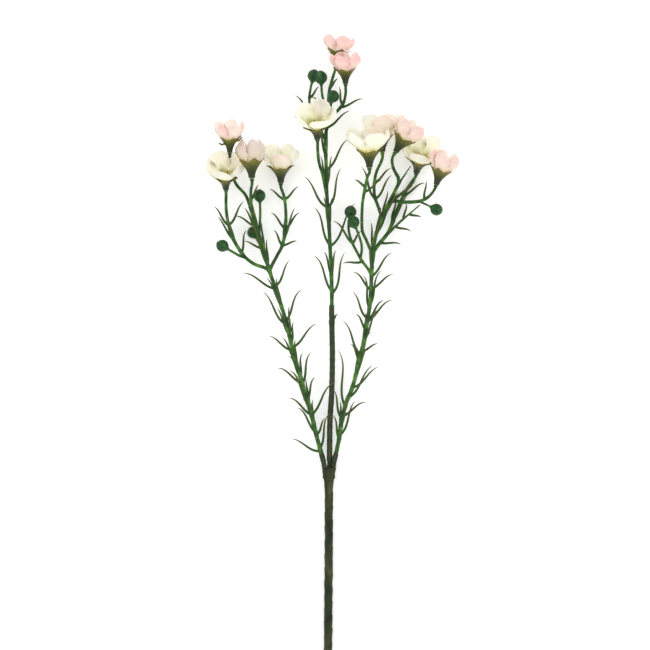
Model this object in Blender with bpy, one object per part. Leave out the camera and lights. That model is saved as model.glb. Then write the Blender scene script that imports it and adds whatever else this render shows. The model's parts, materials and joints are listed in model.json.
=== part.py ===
"""An artificial waxflower stem, laid down: a taped stalk, three moulded sprays of needles and
buds, and twelve cupped flowers, each a calyx, a five-petalled blossom and a centre.

The stem lies along +Y with its cut end at low Y, and +Z points away from the surface it lies on.
The lists below are in millimetres: x from the stalk, y from the cut end, z up from the surface.
"""

import math
import random

import bmesh
import bpy
from mathutils import Matrix, Vector

MM = 0.001
# The stem's own box is centred on the origin, so x and y are moved by this much.
CENTRE_SHIFT = Vector((-2.6, -249.5, 0.0))
FIT_GAP = 0.3
# The exact solver leaves open edges where five petals cross in one flower.
UNION_SOLVER = "MANIFOLD"

STALK_RADIUS = 3.0
STALK_LENGTH = 152.0
STALK_RISE = 0.034
STALK_BEND = 0.7
STALK_BEND_LENGTH = 260.0
FLARE_START = 118.0
FLARE_WIDE = 3.0
FLARE_DEEP = 0.9
TAPE_LUMPS = (-0.035, 0.045)
STALK_RINGS = 22
STALK_SIDES = 12
SOCKET_DEPTH = 9.0

# Where the three sprays stand in the stalk's flared top: x, height above its middle, root radius.
SPRAY_ROOTS = {
    "left_spray": (-3.0, 0.8, 1.3),
    "centre_spray": (0.8, -1.0, 1.6),
    "right_spray": (4.4, 0.8, 1.3),
}

STEM_SIDES = 5
STEM_STEP = 14.0
# A flower stalk ends in a round collar under the calyx and a thin peg inside it. Heights are
# counted along the flower's axis, and a narrow step leads from the collar in to the peg.
STRAIGHT_END = -4.0
COLLAR_FOOT = -2.6
COLLAR_SHOULDER = -2.0
COLLAR_RADIUS = 1.75
NARROW_STEP = 0.05
PEG_RADIUS = 0.75
PEG_LENGTH = 2.4
PEG_SOCKET_RADIUS = 1.1
PEG_SOCKET_DEPTH = 3.0

# A needle leaves its stem and ends at its tip a little further outward than it leans as a whole.
NEEDLE_HALF_WIDTH = 0.95
NEEDLE_RINGS = ((0.0, 1.0), (0.36, 0.95), (0.72, 0.62))
NEEDLE_START = 22.0
NEEDLE_TURN = 28.0
NEEDLE_PULL = 0.36
NEEDLE_SWAY = 10.0
NEEDLE_RISE = 1.5
NEEDLE_KEEL = 0.4
NEEDLE_CROWN = 0.8
PAIR_LENGTH = (19.0, 25.0)
PAIR_HEIGHT = (7.0, 10.0)
PAIR_SIDE = (2.6, 5.5)

# Profiles turned round an axis are given as (radius, height) from the foot.
BUD_RADIUS = 4.8
BUD_SIDES = 10
BUD_RIB = 0.93
BUD_PROFILE = ((0.25, -0.2), (0.66, 0.22), (0.98, 0.75), (0.94, 1.35), (0.55, 1.85), (0.16, 2.1))

CALYX_SIDES = 10
CALYX_OUTER = ((2.4, 0.0), (3.0, 4.0), (4.9, 8.0))
CALYX_INNER = ((4.1, 8.0), (2.2, 5.2))
CALYX_VALLEY = (7.8, 11.9)
CALYX_LOBE = (10.1, 15.0)
CALYX_WALL = 0.7
LOBE_SPREAD = 1.4
LOBE_DROP = 1.0
VALLEY_SPREAD = 0.2

# A petal's middle line, in a closed cup and in an open bowl, and half its width in degrees.
PETALS = 5
PETAL_THICK = 0.75
PETAL_ROWS = (0.0, 0.5, 0.76, 1.0)
PETAL_COLUMNS = 4
PETAL_CUP = ((1.6, 6.8), (4.9, 11.0), (8.6, 15.8), (10.2, 21.8), (8.4, 28.2))
PETAL_BOWL = ((1.6, 6.8), (5.0, 10.9), (9.2, 15.2), (13.8, 19.4), (15.4, 24.2))
PETAL_HALF_WIDTHS = (24.0, 30.0, 37.0, 45.0, 40.0)
PETAL_ROUNDING = 0.38
# Each petal is scooped from half its length on, and laps over the next one from its lower third.
PETAL_SCOOP = 1.7
SCOOP_START = 0.5
SCOOP_TURN = 1.9 * math.pi
PETAL_LAP = 1.4
LAP_START = 0.3
PETAL_CORE = ((1.8, 5.5), (2.5, 8.3))
CENTRE_PROFILE = ((1.5, 8.6), (2.3, 9.6), (2.1, 11.2), (1.0, 12.0))

# A flower's foot is where its calyx meets its stalk. Lean is in degrees to the right of the stem's
# direction, tilt is in degrees up from the surface, open goes from a closed cup to a bowl, and
# full lengthens the petals from their claws.
FLOWERS = {
    "left_1": dict(foot=(-78.0, 403.0, 38.5), lean=0, tilt=16, roll=44, size=0.92, open=0.25, full=1.0),
    "left_2": dict(foot=(-81.8, 375.0, 10.5), lean=-1, tilt=38, roll=2, size=1.04, open=0.7, full=1.08),
    "left_3": dict(foot=(-60.5, 382.5, 36.0), lean=-3, tilt=3, roll=36, size=1.06, open=-0.3, full=1.0),
    "left_4": dict(foot=(-37.8, 380.5, 9.0), lean=-1, tilt=22, roll=18, size=1.09, open=0.5, full=1.0),
    "centre_1": dict(foot=(6.2, 473.6, 13.0), lean=8, tilt=2, roll=38, size=0.92, open=0.5, full=1.0),
    "centre_2": dict(foot=(14.0, 458.0, 29.0), lean=-1, tilt=14, roll=68, size=0.92, open=0.45, full=1.0),
    "centre_3": dict(foot=(-8.5, 414.5, 28.0), lean=-4, tilt=38, roll=30, size=1.08, open=0.8, full=1.03),
    "right_1": dict(foot=(32.8, 391.0, 43.0), lean=-2, tilt=14, roll=38, size=1.08, open=0.7, full=1.14),
    "right_2": dict(foot=(43.5, 404.5, 15.0), lean=-2, tilt=6, roll=22, size=1.02, open=0.45, full=1.16),
    "right_3": dict(foot=(53.6, 403.4, 35.0), lean=31, tilt=8, roll=56, size=1.0, open=0.15, full=1.03),
    "right_4": dict(foot=(71.0, 388.5, 6.5), lean=12, tilt=38, roll=12, size=1.08, open=0.75, full=1.08),
    "right_5": dict(foot=(85.8, 377.4, 40.0), lean=18, tilt=12, roll=4, size=0.98, open=0.1, full=1.0),
}

# Each stem of a spray: its route, the radius at its two ends, what it ends in, and its needles.
# A needle is the height y it leaves the stem at, then its tip's x, y and, where it matters, z.
# Pairs are the heights of the needles that stand up off the stem and hang below it.
SPRAYS = {
    "left_spray": {
        "axis": dict(
            route=[(-4.0, 158, 9.4), (-9.0, 176.5, 10.4), (-13.5, 195.5, 11.2), (-20, 217.5, 12),
                   (-28, 245, 13), (-33.5, 268.5, 13.8), (-41.5, 294, 14.6), (-47, 309.5, 15),
                   (-51.5, 326.5, 15.2), (-58.5, 348, 15.4), (-62.5, 361, 15.5)],
            radius=(1.75, 1.45),
            needles=[(165, -29.5, 175), (167, 1.5, 195.5, 15), (178, -2.5, 191.5), (180, -25, 200),
                     (194, -31.5, 207.5), (194, 5.5, 220, 18), (206, -10, 224.5), (212, -31, 229.5),
                     (219, -41, 231.5), (219, -13, 244.5), (225, -32, 241.5), (225, -20, 243.5),
                     (246, -47.5, 257.5), (248, -9, 267), (252, -27.5, 268.5), (266, -52.5, 293),
                     (269, -20.5, 294.5), (295, -69, 307.5), (297, -30.5, 318), (328, -67, 333),
                     (345, -74.5, 353)],
            pairs=[187, 202, 236, 258, 281, 314, 327, 342],
        ),
        "branch_to_2": dict(
            route=[(-46.5, 308, 15), (-50, 311.5, 15), (-58.5, 314.5, 15), (-66, 320, 15),
                   (-72, 328, 15), (-76.5, 336.5, 14.6), (-79.5, 346, 14), (-81.5, 358, 12.4)],
            radius=(1.45, 1.25),
            flower="left_2",
            needles=[(324, -65, 342), (346, -91.5, 361), (346, -67, 365)],
            pairs=[334],
        ),
        "branch_to_4": dict(
            route=[(-45.5, 306, 15), (-46, 311, 15), (-41, 321, 14.4), (-36.5, 330, 13.6),
                   (-34, 343, 11.6), (-33.8, 356, 9.8), (-35, 368, 8.6)],
            radius=(1.45, 1.2),
            flower="left_4",
            needles=[(330, -43.5, 342), (330, -24.5, 333), (343, -46, 356), (343, -22.5, 356),
                     (367, -47, 375), (367, -23.5, 377)],
            pairs=[336],
        ),
        "stalk_to_3": dict(
            route=[(-59.5, 352, 15.4), (-61, 359, 18.5), (-61.5, 367, 25), (-61.3, 374, 29.6)],
            radius=(1.3, 1.2),
            flower="left_3",
            needles=[(366, -55.5, 378)],
        ),
        "stalk_to_1": dict(
            route=[(-62, 360, 15.5), (-66, 370, 13), (-73, 378, 9.5), (-77, 387, 4.5),
                   (-78, 397, 4.5), (-78.2, 404.6, 9), (-78.2, 405.6, 18), (-78.1, 403.2, 27)],
            radius=(1.3, 1.2),
            flower="left_1",
        ),
        "bud_stalk_1": dict(
            route=[(-55, 337, 15.3), (-54.5, 347, 14.5), (-54.2, 356, 13), (-54.6, 365, 12)],
            radius=(1.1, 1.0),
            bud=1.0,
        ),
        "bud_stalk_2": dict(
            route=[(-53, 329, 15.2), (-55.5, 332, 12), (-58, 336.5, 9.5)],
            radius=(1.1, 1.0),
            bud=1.0,
        ),
        "bud_stalk_3": dict(
            route=[(-65.5, 319.5, 15), (-72, 322, 15.5), (-80.5, 327, 16.5)],
            radius=(1.1, 1.0),
            bud=1.0,
        ),
    },
    "centre_spray": {
        "wrapped_stalk": dict(
            route=[(1.2, 158, 7.6), (1.6, 189, 9), (3, 213, 10), (3.5, 240, 11), (3, 272, 12),
                   (3, 282, 12.2)],
            radius=(2.2, 2.1),
            needles=[(268, 8, 275, 15)],
        ),
        "axis": dict(
            route=[(3, 276, 12.1), (3, 297, 12.6), (2, 322, 13.4), (0.5, 351, 14.4),
                   (-1, 372, 15), (-1.5, 393, 15.5), (-2, 415, 15.8), (0, 430, 15.8),
                   (1.5, 441, 15.8)],
            radius=(1.6, 1.4),
            needles=[(293, -12, 322), (291, 13.5, 324), (330, -11.5, 360.5), (329, 22, 364, 5),
                     (360, -19, 385), (360, 10.5, 391.5), (390, 16.5, 415), (424, 17.5, 437),
                     (439, -14, 448)],
            pairs=[306, 345, 378, 402],
        ),
        "stalk_to_1": dict(
            route=[(0, 434, 15.8), (0.4, 448, 15.2), (1.6, 456, 14.6), (4.6, 466.5, 13.4)],
            radius=(1.25, 1.15),
            flower="centre_1",
            needles=[(456, 8, 463)],
        ),
        "stalk_to_2": dict(
            route=[(0.6, 431, 15.8), (6, 435.5, 19), (12, 442.5, 22.5), (14, 450, 25.6)],
            radius=(1.25, 1.15),
            flower="centre_2",
            needles=[(440, 28, 446.5), (442, 8.6, 456, 27)],
        ),
        "stalk_to_3": dict(
            route=[(-0.5, 366, 14.8), (-4, 385, 17.6), (-7, 395, 20), (-8.2, 405, 23)],
            radius=(1.3, 1.2),
            flower="centre_3",
        ),
        "bud_stalk_1": dict(
            route=[(-1.6, 412, 15.8), (-9, 430, 15), (-14, 440, 14), (-15, 447, 13.8),
                   (-14, 455, 14), (-12.6, 461, 14.4)],
            radius=(1.1, 1.0),
            bud=1.0,
            needles=[(448, -7, 457), (436, -26.5, 450, 12)],
        ),
        "bud_stalk_2": dict(
            route=[(0.8, 434, 15.8), (-2, 441, 15.4), (-4.5, 449, 16), (-5.4, 459, 17)],
            radius=(1.1, 1.0),
            bud=1.06,
        ),
        "bud_stalk_3": dict(
            route=[(0.8, 434, 15.8), (1.8, 440, 18.5), (3, 444.5, 21)],
            radius=(1.1, 1.0),
            bud=1.0,
        ),
    },
    "right_spray": {
        "axis": dict(
            route=[(5, 157, 9.3), (8.5, 172.5, 10.2), (11, 189.5, 11), (14.5, 203.5, 11.6),
                   (19.5, 216, 12), (26, 241, 13), (31.5, 268.5, 13.8), (34, 288.5, 14.4),
                   (35, 309.5, 15), (36.5, 330.5, 15.4), (43, 351.5, 16), (53, 372, 17),
                   (58, 382, 18)],
            radius=(1.75, 1.45),
            needles=[(175, 3.5, 194, 16), (178, 22, 205.5), (191, 4, 215, 17), (193, 31, 204),
                     (201, 8, 246, 17), (208, 36, 234), (216, 40.5, 232.5), (242, 11.5, 269.5),
                     (238, 18, 251), (245, 40, 251), (243, 34.5, 260.5), (262, 22, 275),
                     (269, 52, 286), (269, 45, 286), (271, 19.5, 293), (280, 28, 306),
                     (294, 20, 308.5), (295, 52.5, 306.5), (282, 43, 310), (305, 51.5, 324)],
            pairs=[185, 226, 254, 312, 327, 340, 354],
        ),
        "branch_to_buds": dict(
            route=[(34.6, 306, 15), (31.5, 311.5, 15.5), (27, 317.5, 16.5), (23, 324.5, 17.4),
                   (19.5, 331.5, 18), (17, 339, 18), (16.4, 346, 17), (17.2, 352, 16)],
            radius=(1.2, 1.0),
            bud=1.0,
            needles=[(317, 12, 315), (331.5, 4, 349), (331.5, 27, 341)],
        ),
        "bud_stalk_2": dict(
            route=[(26, 319, 16.6), (27, 328, 19), (25, 336.5, 21.5), (22, 344, 23)],
            radius=(1.1, 1.0),
            bud=1.0,
        ),
        "stalk_to_1": dict(
            route=[(35.8, 322, 15.2), (31, 333, 17.5), (27.5, 341, 20), (27, 351, 25),
                   (27.5, 363.5, 32), (29.5, 375, 37.5), (31.4, 384, 41)],
            radius=(1.3, 1.2),
            flower="right_1",
            needles=[(376, 21, 381), (372, 42, 381, 36)],
        ),
        "stalk_to_2": dict(
            route=[(43, 351.5, 16), (40, 361, 15), (37.4, 369, 14), (37, 378, 13),
                   (38.6, 388, 13), (42.3, 396, 14)],
            radius=(1.3, 1.2),
            flower="right_2",
            needles=[(367, 26.5, 393, 11), (367, 51, 386, 13), (380, 50.5, 391.5)],
        ),
        "stalk_to_3": dict(
            route=[(56, 378, 17.7), (56, 384, 20), (52.8, 389.5, 23.5), (51.0, 395.8, 29.5)],
            radius=(1.3, 1.2),
            flower="right_3",
            needles=[(384, 50.5, 392, 20)],
        ),
        "branch_to_4": dict(
            route=[(36.3, 324, 15.2), (41, 331, 13.5), (48, 340, 10.2), (53, 352.5, 6.8),
                   (58, 364.5, 3.8), (64, 376, 2.2)],
            radius=(1.45, 1.2),
            flower="right_4",
            needles=[(332, 58.5, 330), (370, 78, 380, 4)],
            pairs=[337, 349],
        ),
        "side_branch": dict(
            route=[(47, 338.8, 10.6), (54.5, 345.5, 11.6), (64, 354, 13), (73.5, 362, 13.4)],
            radius=(1.1, 0.5),
            needles=[(345, 66.5, 340.5), (355, 74.5, 352), (351, 62, 363, 20)],
        ),
        "stalk_to_5": dict(
            route=[(48.5, 363, 16.6), (53, 365, 19.5), (61.5, 364, 23), (73, 364.6, 28),
                   (80, 368, 34)],
            radius=(1.3, 1.2),
            flower="right_5",
            needles=[(364, 68, 378), (364, 70.5, 382), (366, 78, 380.5)],
        ),
        "bud_stalk_3": dict(
            route=[(72, 364.5, 27.6), (77, 362.6, 26), (82.6, 360, 24)],
            radius=(0.9, 0.85),
            bud=1.0,
        ),
        "long_strand": dict(
            route=[(56.5, 379, 17.8), (62, 387, 17), (66, 393, 14)],
            radius=(0.9, 0.4),
        ),
    },
}

COLOURS = {
    "taped_stalk": (0.052, 0.052, 0.030),
    "spray": (0.036, 0.110, 0.022),
    "calyx": (0.110, 0.115, 0.022),
    "centre": (0.75, 0.72, 0.14),
}
PINK = (0.90, 0.56, 0.54)
CREAM = (0.84, 0.83, 0.70)
PINK_FLOWERS = ("left_1", "left_3", "centre_1", "centre_2", "right_3", "right_5")


def clear_scene():
    for obj in list(bpy.data.objects):
        bpy.data.objects.remove(obj, do_unlink=True)


def make_material(name, colour, roughness):
    material = bpy.data.materials.new(name)
    material.use_nodes = True
    shader = material.node_tree.nodes["Principled BSDF"]
    shader.inputs["Base Color"].default_value = (*colour, 1.0)
    shader.inputs["Roughness"].default_value = roughness
    shader.inputs["Metallic"].default_value = 0.0
    return material


def make_object(name, points, faces, material=None):
    """An object from points in millimetres, moved to where the finished stem stands."""
    mesh = bpy.data.meshes.new(name)
    mesh.from_pydata([(point + CENTRE_SHIFT) * MM for point in points], [], faces)
    work = bmesh.new()
    work.from_mesh(mesh)
    bmesh.ops.recalc_face_normals(work, faces=work.faces)
    work.to_mesh(mesh)
    work.free()
    obj = bpy.data.objects.new(name, mesh)
    bpy.context.scene.collection.objects.link(obj)
    if material:
        mesh.materials.append(material)
    return obj


def rest_on_surface(obj):
    """Points that would reach under the surface lie flat on it."""
    for vertex in obj.data.vertices:
        vertex.co.z = max(vertex.co.z, 0.0)


def keep_largest_body(obj):
    """Drops loose scraps and the walls of any hollow that fusing sealed."""
    work = bmesh.new()
    work.from_mesh(obj.data)
    left = set(work.verts)
    bodies = []
    while left:
        body = {left.pop()}
        front = list(body)
        while front:
            for edge in front.pop().link_edges:
                for vertex in edge.verts:
                    if vertex in left:
                        left.discard(vertex)
                        body.add(vertex)
                        front.append(vertex)
        bodies.append(body)
    bodies.sort(key=len)
    for body in bodies[:-1]:
        bmesh.ops.delete(work, geom=list(body), context="VERTS")
    bmesh.ops.triangulate(work, faces=work.faces)
    work.to_mesh(obj.data)
    work.free()


def fuse(pieces, name, material):
    """Joins closed pieces that cross into one body, by one Boolean union on a collection."""
    body = pieces[0]
    body.name = name
    body.data.name = name
    others = bpy.data.collections.new(name + "_pieces")
    bpy.context.scene.collection.children.link(others)
    for piece in pieces[1:]:
        bpy.context.scene.collection.objects.unlink(piece)
        others.objects.link(piece)
    union = body.modifiers.new("fuse", "BOOLEAN")
    union.operation = "UNION"
    union.solver = UNION_SOLVER
    union.operand_type = "COLLECTION"
    union.collection = others
    view = bpy.context.evaluated_depsgraph_get()
    fused = bpy.data.meshes.new_from_object(body.evaluated_get(view))
    body.modifiers.clear()
    body.data = fused
    for piece in list(others.objects):
        bpy.data.objects.remove(piece, do_unlink=True)
    bpy.data.collections.remove(others)
    fused.materials.clear()
    fused.materials.append(material)
    keep_largest_body(body)
    rest_on_surface(body)
    body.data.shade_smooth()
    body.data.set_sharp_from_angle(angle=math.radians(50))
    return body


def ring_faces(rings, sides, cap_start=True, cap_end=True):
    """Faces between rings of points, with flat caps at the ends."""
    faces = []
    for ring in range(rings - 1):
        for side in range(sides):
            a = ring * sides + side
            b = ring * sides + (side + 1) % sides
            faces.append((a, b, b + sides, a + sides))
    if cap_start:
        faces.append(tuple(range(sides - 1, -1, -1)))
    if cap_end:
        faces.append(tuple(range((rings - 1) * sides, rings * sides)))
    return faces


def smooth_route(route, step):
    """Points a step apart on a smooth curve through the route."""
    points = [Vector(point) for point in route]
    points = [2 * points[0] - points[1]] + points + [2 * points[-1] - points[-2]]
    fine = []
    for k in range(1, len(points) - 2):
        p0, p1, p2, p3 = points[k - 1:k + 3]
        for n in range(12):
            t = n / 12
            fine.append(0.5 * (2 * p1 + (p2 - p0) * t + (2 * p0 - 5 * p1 + 4 * p2 - p3) * t * t
                               + (3 * p1 - p0 - 3 * p2 + p3) * t ** 3))
    fine.append(points[-2])
    lengths = [0.0]
    for a, b in zip(fine, fine[1:]):
        lengths.append(lengths[-1] + (b - a).length)
    count = max(2, round(lengths[-1] / step))
    result = []
    k = 0
    for n in range(count + 1):
        wanted = lengths[-1] * n / count
        while k < len(fine) - 2 and lengths[k + 1] < wanted:
            k += 1
        share = (wanted - lengths[k]) / (lengths[k + 1] - lengths[k])
        result.append(fine[k].lerp(fine[k + 1], min(1.0, share)))
    return result


def tube(name, line, radii, sides=STEM_SIDES):
    """A closed tube along a line, with a radius at each of its points."""
    points = []
    side_way = Vector((0.0, 0.0, 1.0))
    for k, point in enumerate(line):
        ahead = line[min(k + 1, len(line) - 1)] - line[max(k - 1, 0)]
        ahead.normalize()
        side_way = (side_way - ahead * side_way.dot(ahead)).normalized()
        across = ahead.cross(side_way)
        for side in range(sides):
            turn = math.tau * side / sides
            points.append(point + radii[k] * (math.cos(turn) * side_way + math.sin(turn) * across))
    return make_object(name, points, ring_faces(len(line), sides))


def needle(name, root, along, tip):
    """A three-sided needle that runs up its stem and turns outward at its tip."""
    reach = tip - root
    outward = (reach - along * reach.dot(along)).normalized()
    lean = math.degrees(reach.angle(along))
    sway = NEEDLE_SWAY * math.sin(root.y)
    start = math.radians(lean + NEEDLE_START + sway)
    finish = math.radians(lean + NEEDLE_TURN - sway)
    pull = NEEDLE_PULL * reach.length
    first = root + pull * (math.sin(start) * outward + math.cos(start) * along)
    second = tip - pull * (math.sin(finish) * outward + math.cos(finish) * along)
    points = []
    for t, share in NEEDLE_RINGS:
        u = 1 - t
        middle = u ** 3 * root + 3 * u * u * t * first + 3 * u * t * t * second + t ** 3 * tip
        ahead = u * u * (first - root) + 2 * u * t * (second - first) + t * t * (tip - second)
        ahead.normalize()
        across = ahead.cross(Vector((0.0, 0.0, 1.0)))
        if across.length < 0.2:
            across = ahead.cross(Vector((1.0, 0.0, 0.0)))
        across.normalize()
        up = across.cross(ahead)
        width = NEEDLE_HALF_WIDTH * share
        keel = middle - up * NEEDLE_KEEL * width
        points += [keel - across * width, keel + across * width, middle + up * NEEDLE_CROWN * width]
    points.append(tip)
    faces = ring_faces(len(NEEDLE_RINGS), 3, cap_end=False)
    last = 3 * len(NEEDLE_RINGS)
    faces += [(last - 3, last - 2, last), (last - 2, last - 1, last), (last - 1, last - 3, last)]
    return make_object(name, points, faces)


def bud(name, foot, along, scale):
    """A round flower bud with five faint ribs, on the end of its stalk."""
    side_way = along.orthogonal().normalized()
    across = along.cross(side_way)
    radius = BUD_RADIUS * scale
    points = []
    for width, height in BUD_PROFILE:
        for side in range(BUD_SIDES):
            turn = math.tau * side / BUD_SIDES
            rib = 1.0 if side % 2 else BUD_RIB
            way = math.cos(turn) * side_way + math.sin(turn) * across
            points.append(foot + height * radius * along + width * rib * radius * way)
    return make_object(name, points, ring_faces(len(BUD_PROFILE), BUD_SIDES))


def flower_frame(flower):
    """The flower's own axes: a matrix whose Z runs up its axis from its foot."""
    lean = math.radians(flower["lean"])
    tilt = math.radians(flower["tilt"])
    axis = Vector((math.sin(lean) * math.cos(tilt), math.cos(lean) * math.cos(tilt),
                   math.sin(tilt)))
    turn = axis.to_track_quat("Z", "Y").to_matrix().to_4x4()
    roll = Matrix.Rotation(math.radians(flower["roll"]), 4, "Z")
    place = Matrix.Translation(Vector(flower["foot"]))
    return place @ turn @ roll @ Matrix.Scale(flower["size"], 4)


def stem_at(line, height):
    """The place and direction of a stem where it first passes a height y."""
    for a, b in zip(line, line[1:]):
        if (a.y - height) * (b.y - height) <= 0 and a.y != b.y:
            return a.lerp(b, (height - a.y) / (b.y - a.y)), (b - a).normalized()
    return line[-1], (line[-1] - line[-2]).normalized()


def stem_pieces(name, stem, draw):
    """One stem of a spray, with its needles and the bud or the peg at its end."""
    route = list(stem["route"])
    start, end = stem["radius"]
    if "flower" in stem:
        frame = flower_frame(FLOWERS[stem["flower"]])
        size = FLOWERS[stem["flower"]]["size"]
        route += [tuple(frame @ Vector((0, 0, height))) for height in (STRAIGHT_END, -FIT_GAP)]
    line = smooth_route(route, STEM_STEP)
    count = len(line) - 1
    radii = [start + (end - start) * k / count for k in range(count + 1)]
    if "flower" in stem:
        line.pop()
        radii.pop()
        line += [frame @ Vector((0, 0, height)) for height in
                 (COLLAR_FOOT, COLLAR_SHOULDER, -FIT_GAP, NARROW_STEP - FIT_GAP, PEG_LENGTH)]
        radii += [end] + [COLLAR_RADIUS * size] * 2 + [PEG_RADIUS * size] * 2
    pieces = [tube(name, line, radii)]
    if "bud" in stem:
        along = (line[-1] - line[-2]).normalized()
        pieces.append(bud(name + "_bud", line[-1], along, stem["bud"]))
    for k, spec in enumerate(stem.get("needles", [])):
        root, along = stem_at(line, spec[0])
        tip = Vector((spec[1], spec[2], spec[3] if len(spec) > 3 else root.z + NEEDLE_RISE))
        pieces.append(needle(f"{name}_needle_{k}", root, along, tip))
    for height in stem.get("pairs", []):
        root, along = stem_at(line, height)
        side = draw.choice((1, -1))
        for way in (1, -1):
            tip = root + along * draw.uniform(*PAIR_LENGTH)
            tip.x += side * way * draw.uniform(*PAIR_SIDE)
            tip.z = max(tip.z + way * draw.uniform(*PAIR_HEIGHT), NEEDLE_HALF_WIDTH)
            pieces.append(needle(f"{name}_pair_{height}_{way}", root, along, tip))
    return pieces


def stalk_middle(y):
    """The taped stalk's middle, which rises a little from its cut end to its fork."""
    side = STALK_BEND * math.sin(math.pi * y / STALK_BEND_LENGTH)
    return Vector((side, y, STALK_RADIUS + STALK_RISE * y))


def make_stalk(draw):
    """The taped stalk, with the uneven turns of its tape, and a plain hole for each spray."""
    points = []
    for ring in range(STALK_RINGS + 1):
        y = STALK_LENGTH * ring / STALK_RINGS
        middle = stalk_middle(y)
        flare = max(0.0, (y - FLARE_START) / (STALK_LENGTH - FLARE_START)) ** 1.5
        wide = STALK_RADIUS + FLARE_WIDE * flare
        deep = STALK_RADIUS + FLARE_DEEP * flare
        lump = 1.0 + draw.uniform(*TAPE_LUMPS) * (0 < ring < STALK_RINGS)
        for side in range(STALK_SIDES):
            turn = math.tau * side / STALK_SIDES
            points.append(middle + Vector((wide * lump * math.cos(turn), 0,
                                           deep * lump * math.sin(turn))))
    stalk = make_object("taped_stalk", points, ring_faces(STALK_RINGS + 1, STALK_SIDES),
                        make_material("floral tape", COLOURS["taped_stalk"], 0.75))
    rest_on_surface(stalk)
    for name in SPRAYS:
        start, end = root_line(name)
        radius = SPRAY_ROOTS[name][2] + FIT_GAP
        away = (end - start).normalized()
        cutter = tube(name + "_hole", [start - away * FIT_GAP, end + away * 4], [radius] * 2, 10)
        cutter.hide_render = True
        cutter.display_type = "WIRE"
        cut = stalk.modifiers.new(name, "BOOLEAN")
        cut.operation = "DIFFERENCE"
        cut.object = cutter
    stalk.data.shade_smooth()
    stalk.data.set_sharp_from_angle(angle=math.radians(50))
    return stalk


def root_line(name):
    """The straight stretch of a spray's root, from the bottom of its hole to the stalk's top."""
    x, rise, radius = SPRAY_ROOTS[name]
    start = stalk_middle(STALK_LENGTH - SOCKET_DEPTH)
    end = stalk_middle(STALK_LENGTH)
    shift = Vector((x - end.x, 0, rise))
    return start + shift, end + shift


def make_spray(name, stems, material):
    """A moulded spray: its axis, branches and stalks, with their needles and buds, in one body."""
    draw = random.Random(name)
    pieces = []
    start, end = root_line(name)
    for order, (stem_name, stem) in enumerate(stems.items()):
        if order == 0:
            root_radius = SPRAY_ROOTS[name][2]
            pieces.append(tube(name + "_root", [start, end, Vector(stem["route"][0])],
                               [root_radius] * 3))
            stem = dict(stem, route=[tuple(end)] + list(stem["route"]),
                        radius=(root_radius + NARROW_STEP, stem["radius"][1]))
        pieces += stem_pieces(name + "_" + stem_name, stem, draw)
    return fuse(pieces, name, material)


def calyx(name, flower, material):
    """A green funnel with five pointed lobes round its rim and a blind hole for the stalk's peg."""
    frame = flower_frame(flower)
    spread = max(0.0, flower["open"])
    lobe = (CALYX_LOBE[0] + LOBE_SPREAD * spread, CALYX_LOBE[1] - LOBE_DROP * spread)
    valley = (CALYX_VALLEY[0] + VALLEY_SPREAD * spread, CALYX_VALLEY[1])
    rim = [lobe, valley] * (CALYX_SIDES // 2)
    rings = [[(PEG_SOCKET_RADIUS, PEG_SOCKET_DEPTH)] * CALYX_SIDES,
             [(PEG_SOCKET_RADIUS, 0)] * CALYX_SIDES]
    rings += [[place] * CALYX_SIDES for place in CALYX_OUTER]
    rings += [rim, [(radius - CALYX_WALL, height) for radius, height in rim]]
    rings += [[place] * CALYX_SIDES for place in CALYX_INNER]
    points = [frame @ on_circle(radius, height, side, CALYX_SIDES)
              for ring in rings for side, (radius, height) in enumerate(ring)]
    obj = make_object(name, points, ring_faces(len(rings), CALYX_SIDES), material)
    rest_on_surface(obj)
    return obj


def on_circle(radius, height, side, sides):
    turn = math.tau * side / sides
    return Vector((radius * math.cos(turn), radius * math.sin(turn), height))


def turned(profile, sides):
    """Points of a profile turned round the flower's axis."""
    return [on_circle(radius, height, side, sides)
            for radius, height in profile for side in range(sides)]


def between(values, place):
    """A smooth curve through evenly spaced values, at a place from 0 to 1."""
    count = len(values) - 1
    k = min(count - 1, int(place * count))
    t = place * count - k
    p1, p2 = values[k], values[k + 1]
    p0 = values[k - 1] if k > 0 else 2 * p1 - p2
    p3 = values[k + 2] if k + 2 <= count else 2 * p2 - p1
    return 0.5 * (2 * p1 + (p2 - p0) * t + (2 * p0 - 5 * p1 + 4 * p2 - p3) * t * t
                  + (3 * p1 - p0 - 3 * p2 + p3) * t ** 3)


def petal_point(u, v, flower):
    """A petal's middle surface, from side to side in u and from its claw to its tip in v."""
    reach = v * (1 - PETAL_ROUNDING * v * v * (1 - math.sqrt(max(0.0, 1 - u * u))))
    claw = Vector(PETAL_CUP[0])
    places = [claw + flower["full"] * (Vector(cup).lerp(Vector(bowl), flower["open"]) - claw)
              for cup, bowl in zip(PETAL_CUP, PETAL_BOWL)]
    radius = between([place.x for place in places], reach)
    height = between([place.y for place in places], reach)
    radius += PETAL_LAP * u * min(1.0, max(0.0, v / LAP_START - 1))
    radius += PETAL_SCOOP * (1 - u * u) * max(0.0, math.sin(SCOOP_TURN * (v - SCOOP_START)))
    turn = math.radians(between(PETAL_HALF_WIDTHS, v)) * u
    return Vector((radius * math.cos(turn), radius * math.sin(turn), height))


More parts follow.
